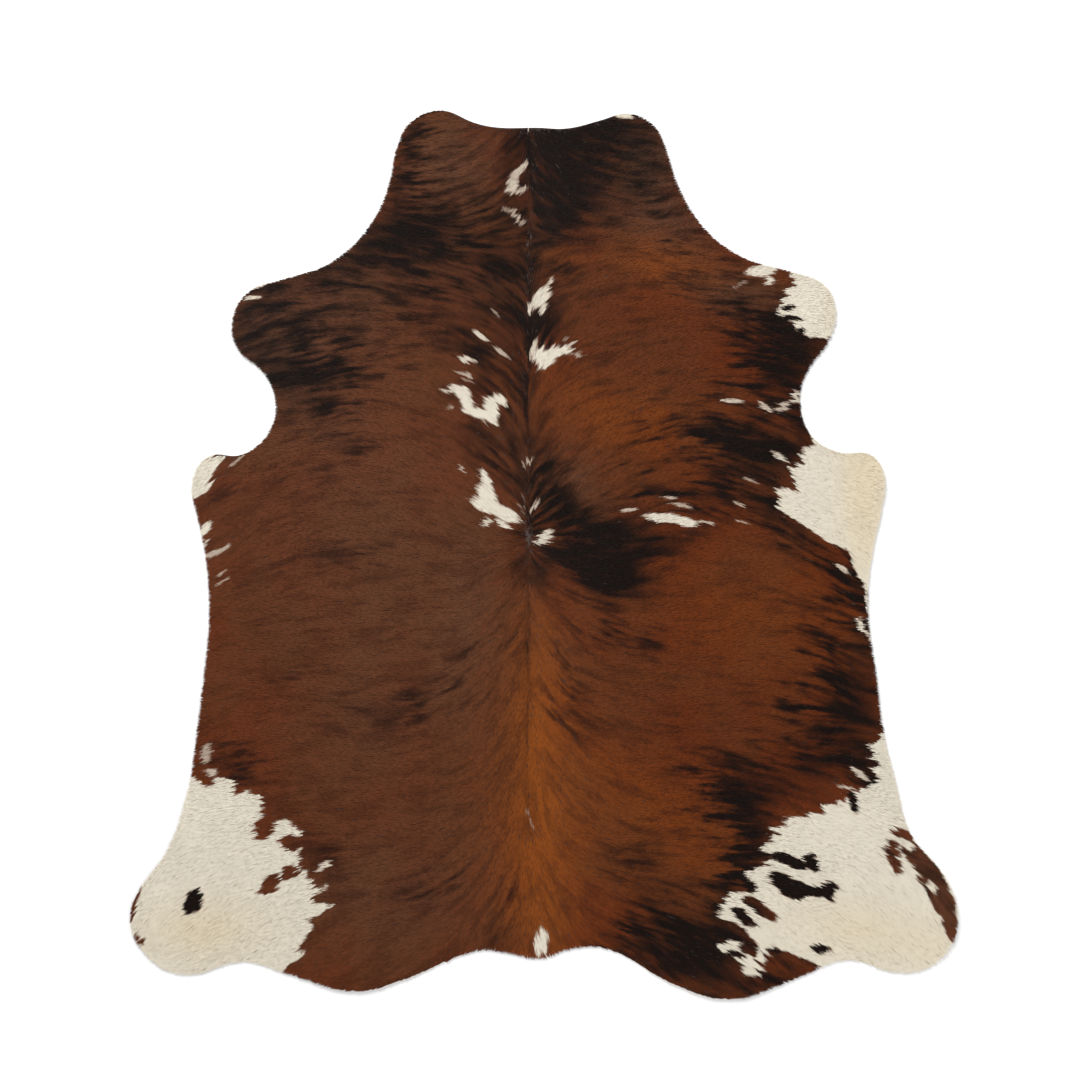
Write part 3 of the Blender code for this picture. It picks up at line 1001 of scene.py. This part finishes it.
def hair_tree():
    """Plants locks on a strip of the leather between two distances across it."""
    tree = bpy.data.node_groups.new("plant_hair", "GeometryNodeTree")
    sockets = tree.interface
    sockets.new_socket("Geometry", in_out="OUTPUT", socket_type="NodeSocketGeometry")
    inputs = (
        ("Leather", "NodeSocketGeometry", None),
        ("Lock", "NodeSocketObject", None),
        ("From", "NodeSocketFloat", 0.0),
        ("To", "NodeSocketFloat", 0.0),
        ("Spacing", "NodeSocketFloat", LOCK_SPACING),
        ("Density", "NodeSocketFloat", LOCKS_PER_SQUARE_METRE),
        ("Leather Thickness", "NodeSocketFloat", LEATHER_THICKNESS),
        ("Hair Length", "NodeSocketFloat", HAIR_LENGTH),
        ("Rim Overhang", "NodeSocketFloat", RIM_OVERHANG),
        ("Seed", "NodeSocketInt", PLANTING_SEED),
        ("Finish", "NodeSocketMaterial", None),
    )
    for name, kind, value in inputs:
        socket = sockets.new_socket(name, in_out="INPUT", socket_type=kind)
        if value is not None:
            socket.default_value = value
    wires = Wiring(tree)
    given = tree.nodes.new("NodeGroupInput")
    value = {name: Value(tree, given.outputs[name]) for name, _, _ in inputs}

    def own(kind, least, most, seed):
        """A random value for each lock."""
        first, output = {"FLOAT_VECTOR": (0, 0), "FLOAT": (2, 1)}[kind]
        limits = {first: least, first + 1: most, "Seed": seed}
        return wires.add("FunctionNodeRandomValue", {"data_type": kind}, limits, output)

    def named(kind, name):
        """What the leather has stored under a name."""
        return wires.add("GeometryNodeInputNamedAttribute", {"data_type": kind}, {"Name": name})

    def compared(operation, first, second):
        settings = {"data_type": "FLOAT", "operation": operation}
        return wires.add("FunctionNodeCompare", settings, {0: first, 1: second})

    planted = wires.add(
        "GeometryNodeDistributePointsOnFaces",
        {"distribute_method": "POISSON"},
        {
            "Mesh": value["Leather"],
            "Distance Min": value["Spacing"],
            "Density Max": value["Density"],
            "Seed": value["Seed"],
        },
    )
    up = Value(tree, planted.socket.node.outputs["Normal"])
    lift = wires.scaled(up, value["Leather Thickness"])
    raised = wires.add("GeometryNodeSetPosition", None, {"Geometry": planted, "Offset": lift})
    place = wires.add("GeometryNodeInputPosition")
    across = wires.add("ShaderNodeSeparateXYZ", None, {"Vector": place})
    past_from = compared("GREATER_EQUAL", across, value["From"])
    before_to = compared("LESS_THAN", across, value["To"])
    in_strip = wires.add(
        "FunctionNodeBooleanMath", {"operation": "AND"}, {0: past_from, 1: before_to}
    )
    strip = wires.add(
        "GeometryNodeSeparateGeometry",
        {"domain": "POINT"},
        {"Geometry": raised, "Selection": in_strip},
    )
    kept_root = wires.add(
        "GeometryNodeStoreNamedAttribute",
        {"data_type": "FLOAT_VECTOR", "domain": "POINT"},
        {"Geometry": strip, "Name": "root", "Value": place},
    )
    lie = named("FLOAT_VECTOR", "lie")
    leaning = own("FLOAT_VECTOR", *OWN_LEANING)
    pointed = wires.plus(lie, leaning)
    roll = own("FLOAT_VECTOR", *OWN_ROLL)
    rolled = wires.plus(up, roll)
    turned = wires.add(
        "FunctionNodeAxesToRotation",
        {"primary_axis": "X", "secondary_axis": "Z"},
        {"Primary Axis": pointed, "Secondary Axis": rolled},
    )
    rim = named("FLOAT", "rim_distance")
    trimmed = wires.add(
        "ShaderNodeMapRange",
        {"clamp": True},
        {
            "Value": (rim + value["Rim Overhang"]) / value["Hair Length"],
            "From Min": SHORTEST_TRIM,
            "From Max": 1.0,
            "To Min": SHORTEST_TRIM,
            "To Max": 1.0,
        },
    )
    length = own("FLOAT", *OWN_LENGTH) * trimmed
    width, rise = own("FLOAT", *OWN_WIDTH), own("FLOAT", *OWN_RISE)
    size = wires.add("ShaderNodeCombineXYZ", None, {"X": length, "Y": width, "Z": rise})
    lock = wires.add(
        "GeometryNodeObjectInfo", {"transform_space": "ORIGINAL"}, {"Object": value["Lock"]}
    )
    lock = Value(tree, lock.socket.node.outputs["Geometry"])
    grown = wires.add(
        "GeometryNodeInstanceOnPoints",
        None,
        {"Points": kept_root, "Instance": lock, "Rotation": turned, "Scale": size},
    )
    real = wires.add("GeometryNodeRealizeInstances", None, {"Geometry": grown})
    finished = wires.add(
        "GeometryNodeSetMaterial", None, {"Geometry": real, "Material": value["Finish"]}
    )
    result = tree.nodes.new("NodeGroupOutput")
    connect(tree, result.inputs["Geometry"], finished)
    return tree


BROWN = srgb(88, 44, 20)
RED_BROWN = srgb(92, 40, 14)
PAINTED_SHEEN_BROWN = srgb(92, 65, 48)
STREAK_DARK = srgb(54, 27, 14)
BLACK_HAIR = srgb(19, 11, 8)
GINGER = srgb(132, 68, 20)
WHITE_HAIR = srgb(212, 204, 187)
CREAM_HAIR = srgb(210, 195, 165)
PINKISH = srgb(160, 138, 122)
PAINTED_SHEEN_DEPTH = 0.75
STREAK_DEPTH = 0.42
CREAM_DEPTH = 0.9
MEAN_SHADE = 0.94
HAIR_SHINE = 0.05


def make_hair_finish():
    """Coloured by each hair's place on the hide, streaked and shaded hair by hair; sheen and root
    shade are painted.
    """
    material, wires, shader = new_material("cowhide_hair")
    where = wires.where()
    white, black, ginger = wires.stored("coat")
    broad, fine, own = wires.stored("streak")
    along, side, cream_and_painted_sheen = wires.stored("strand")
    drifts = wires.noise(where, scale=4.0, detail=3.0, roughness=0.55)
    patches = wires.noise(where, scale=16.0, detail=3.0, roughness=0.6)
    brown = wires.mix(wires.soft_step(drifts, 0.38, 0.62), BROWN, RED_BROWN)
    # Painted sheen: the brown greyed where the hair's gloss catches the light.
    brown = wires.mix(cream_and_painted_sheen * PAINTED_SHEEN_DEPTH, brown, PAINTED_SHEEN_BROWN)
    brown = wires.mix(ginger, brown, GINGER)
    streaks = wires.soft_step(broad * 0.55 + fine * 0.30 + patches * 0.9, 0.72, 1.15)
    brown = wires.mix(streaks * STREAK_DEPTH, brown, STREAK_DARK)
    brown = wires.mix(wires.soft_step(black, 0.02, 0.92), brown, BLACK_HAIR)
    pale = wires.mix(cream_and_painted_sheen * CREAM_DEPTH, WHITE_HAIR, CREAM_HAIR)
    pale = wires.mix(wires.soft_step(white, 0.35, 0.95), PINKISH, pale)
    coloured = wires.mix(wires.soft_step(white, 0.10, 0.55), brown, pale)
    # Random tone per lock and along the streaks, plus painted shade: each lock darker at its root,
    # under the locks that overlap it.
    tone_and_root_shade = (own - 0.5) * 0.10 + (fine - 0.5) * 0.10 + along * 0.06
    shade = MEAN_SHADE + tone_and_root_shade * (1.0 - white * 0.6) + (patches - 0.5) * 0.10
    shaded = wires.scaled(coloured, shade)

    hairs = wires.add(
        "ShaderNodeCombineXYZ", None, {"X": side * 2.2 + own * 40.0, "Y": along * 1.5}
    )
    ridges = wires.noise(hairs, scale=1.6, detail=1.0, roughness=0.5)
    bump = wires.bump(ridges, strength=0.2, distance=0.0003)
    wires.feed(shader, shaded, 0.52 + own * 0.12, bump)
    shader.inputs["Specular IOR Level"].default_value = HAIR_SHINE
    return material


def planar_map(mesh, places):
    """Lays the strip out flat for its surface maps, as seen from above."""
    low, high = places[:, :2].min(axis=0), places[:, :2].max(axis=0)
    corners = np.empty(len(mesh.loops), np.int32)
    mesh.loops.foreach_get("vertex_index", corners)
    flat = (places[corners][:, :2] - low) / (high - low)
    layer = mesh.uv_layers.new(name="OFBake")
    layer.data.foreach_set("uv", flat.astype(np.float32).ravel())


# A lock takes its colour from this share of its length along from its root.
SEEN_AT = 0.6
BROAD_CONTRAST = 0.14
FINE_CONTRAST = 0.2


def colour_locks(mesh, seed):
    """Gives each lock the coat's colour where it lies, and its own shade."""
    roots = recall(mesh, "root")[::LOCK_POINTS]
    x, y = roots[:, 0], roots[:, 1]
    way_x, way_y = lie_at(x, y)
    seen_x = x + way_x * HAIR_LENGTH * SEEN_AT
    seen_y = y + way_y * HAIR_LENGTH * SEEN_AT
    white, black, ginger, painted_sheen, cream = coat_at(seen_x, seen_y)
    broad = read_map(broad_streaks, seen_x, seen_y) + read_map(mottles, seen_x, seen_y)
    broad = np.clip(0.5 + broad * BROAD_CONTRAST, 0.0, 1.0)
    fine = read_map(fine_streaks, seen_x, seen_y)
    fine = np.clip(0.5 + fine * FINE_CONTRAST, 0.0, 1.0)
    own = np.random.default_rng(seed).random(len(roots))
    every_point = np.repeat(np.arange(len(roots)), LOCK_POINTS)
    store(mesh, "coat", np.stack([white, black, ginger], axis=1)[every_point])
    store(mesh, "streak", np.stack([broad, fine, own], axis=1)[every_point])
    strand = recall(mesh, "strand")
    # The third part is the cream tint in the white and the painted sheen in the brown.
    strand[:, 2] = np.where(white > 0.5, cream, painted_sheen)[every_point]
    store(mesh, "strand", strand)
    for spent in ("root", "lie", "rim_distance"):
        mesh.attributes.remove(mesh.attributes[spent])


# Columns: strip of hair, the x of its right limit.
HAIR_STRIPS = (
    ("hair_left_flank", -0.50),
    ("hair_left_side", -0.19),
    ("hair_back", 0.11),
    ("hair_right_side", 0.44),
    ("hair_right_flank", 1.00),
)
LEFT_OF_HIDE = -1.0
FIRST_STRIP_SEED = 40
plant_hair = hair_tree()
lock = make_lock()
hair_finish = make_hair_finish()
planter = leather.modifiers.new("planter", "NODES")
planter.node_group = plant_hair
planter_inputs = {
    item.name: item.identifier
    for item in plant_hair.interface.items_tree
    if item.in_out == "INPUT"
}
planter[planter_inputs["Lock"]] = lock
planter[planter_inputs["Finish"]] = hair_finish
hair_pieces = []
strip_start = LEFT_OF_HIDE
for strip_number, (strip_name, strip_end) in enumerate(HAIR_STRIPS):
    planter[planter_inputs["From"]] = strip_start
    planter[planter_inputs["To"]] = strip_end
    leather.update_tag()
    evaluated = leather.evaluated_get(bpy.context.evaluated_depsgraph_get())
    strip_mesh = bpy.data.meshes.new_from_object(evaluated)
    strip_mesh.name = strip_name
    colour_locks(strip_mesh, FIRST_STRIP_SEED + strip_number)
    planar_map(strip_mesh, recall(strip_mesh, "position"))
    hair_pieces.append(new_object(strip_name, strip_mesh))
    strip_start = strip_end
leather.modifiers.remove(planter)
bpy.data.objects.remove(lock)

thickness = leather.modifiers.new("thickness", "SOLIDIFY")
thickness.thickness = LEATHER_THICKNESS
thickness.offset = 1.0
thickness.material_offset = 1
thickness.material_offset_rim = 2

for piece in (leather, *hair_pieces):
    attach(piece, "root")
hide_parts("hide")


# --------------------------------------
# Floor, light and camera
# A plain near-white studio floor, two big soft lights and an even sky, and a
# camera high above the tail end that looks almost straight down.
# --------------------------------------

FLOOR_HALF = 12.0
FLOOR_WHITE = (0.86, 0.86, 0.86, 1.0)
FLOOR_GAP = 0.0002
FLOOR_ROUGHNESS = 0.9
FLOOR_SHINE = 0.1
SKY_STRENGTH = 0.62
CAMERA_DISTANCE = 3.0
CAMERA_TILT = math.radians(16.0)
CAMERA_LENS = 42.07
SENSOR_WIDTH = 36.0
CAMERA_X = -0.0083
AIM_Y = -0.0738

floor_cut = bmesh.new()
bmesh.ops.create_grid(floor_cut, x_segments=4, y_segments=4, size=FLOOR_HALF)
bmesh.ops.translate(floor_cut, verts=floor_cut.verts, vec=(0.0, 0.0, -FLOOR_GAP))
floor_mesh = made(floor_cut, "floor")
floor = new_object("floor", floor_mesh)
floor_material, _, floor_shader = new_material("floor_white")
floor_shader.inputs["Base Color"].default_value = FLOOR_WHITE
floor_shader.inputs["Roughness"].default_value = FLOOR_ROUGHNESS
floor_shader.inputs["Specular IOR Level"].default_value = FLOOR_SHINE
floor_mesh.materials.append(floor_material)

world = bpy.data.worlds.new("studio")
world.use_nodes = True
sky = world.node_tree.nodes["Background"]
sky.inputs["Color"].default_value = (1.0, 1.0, 1.0, 1.0)
sky.inputs["Strength"].default_value = SKY_STRENGTH
bpy.context.scene.world = world

# Columns: light, x, y, z, size, power.
SOFT_LIGHTS = (
    ("soft_light_head", -1.6, 2.6, 3.4, 2.6, 170.0),
    ("soft_light_tail", 1.8, -2.4, 3.8, 3.0, 70.0),
)
for light_name, light_x, light_y, light_z, light_size, light_power in SOFT_LIGHTS:
    light_data = bpy.data.lights.new(light_name, "AREA")
    light_data.shape = "DISK"
    light_data.size = light_size
    light_data.energy = light_power
    light = new_object(light_name, light_data)
    light.location = (light_x, light_y, light_z)
    towards_rug = Vector((0.0, 0.0, 0.0)) - light.location
    light.rotation_euler = towards_rug.to_track_quat("-Z", "Y").to_euler()

camera_data = bpy.data.cameras.new("camera")
camera_data.lens = CAMERA_LENS
camera_data.sensor_width = SENSOR_WIDTH
camera = new_object("camera", camera_data)
camera.location = (
    CAMERA_X,
    AIM_Y - CAMERA_DISTANCE * math.sin(CAMERA_TILT),
    CAMERA_DISTANCE * math.cos(CAMERA_TILT),
)
camera.rotation_euler = (CAMERA_TILT, 0.0, 0.0)
bpy.context.scene.camera = camera
bpy.context.scene.view_settings.view_transform = "Standard"
